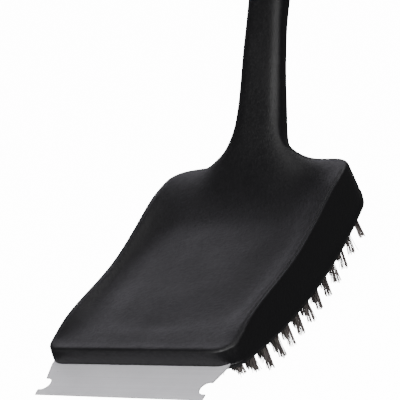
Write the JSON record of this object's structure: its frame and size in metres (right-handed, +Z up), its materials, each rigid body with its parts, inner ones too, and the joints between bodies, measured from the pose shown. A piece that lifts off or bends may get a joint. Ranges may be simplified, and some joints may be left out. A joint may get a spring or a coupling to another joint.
{
  "type": "grill cleaning brush",
  "caption": "Grill brush with a wide dished resin head and rising handle, rows of wire tufts below and a notched steel scraper at the front.",
  "frame": {"origin": "bottom centre of the whole brush, on the surface that the tufts stand on", "axes": "+X across the head to the user's right, +Y from the scraper towards the handle, +Z up, square to the bristle field"},
  "size_m": [0.1558, 0.4742, 0.284],
  "materials": {
    "black_resin": "satin, fine moulded grain",
    "plate_resin": "satin moulded",
    "stainless": "brushed across the blade",
    "plated_steel": "zinc plated",
    "bristle_wire": "drawn spring wire, dull"
  },
  "bodies": {
    "root": {"head_and_handle": "black_resin", "bristle_plate": "plate_resin", "scraper_blade": "stainless", "scraper_rivets": "plated_steel", "plate_screws": "plated_steel", "bristle_row_01": "bristle_wire", "bristle_row_02": "bristle_wire", "bristle_row_03": "bristle_wire", "bristle_row_04": "bristle_wire", "bristle_row_05": "bristle_wire", "bristle_row_06": "bristle_wire", "bristle_row_07": "bristle_wire", "bristle_row_08": "bristle_wire", "bristle_row_09": "bristle_wire", "bristle_row_10": "bristle_wire", "bristle_row_11": "bristle_wire", "bristle_row_12": "bristle_wire", "bristle_row_13": "bristle_wire", "bristle_row_14": "bristle_wire", "bristle_row_15": "bristle_wire", "bristle_row_16": "bristle_wire", "bristle_row_17": "bristle_wire", "bristle_row_18": "bristle_wire", "bristle_row_19": "bristle_wire", "bristle_row_20": "bristle_wire", "bristle_row_21": "bristle_wire", "bristle_row_22": "bristle_wire", "bristle_row_23": "bristle_wire", "bristle_row_24": "bristle_wire", "bristle_row_25": "bristle_wire", "tuft_staples": "plated_steel"}
  },
  "joints": []
}
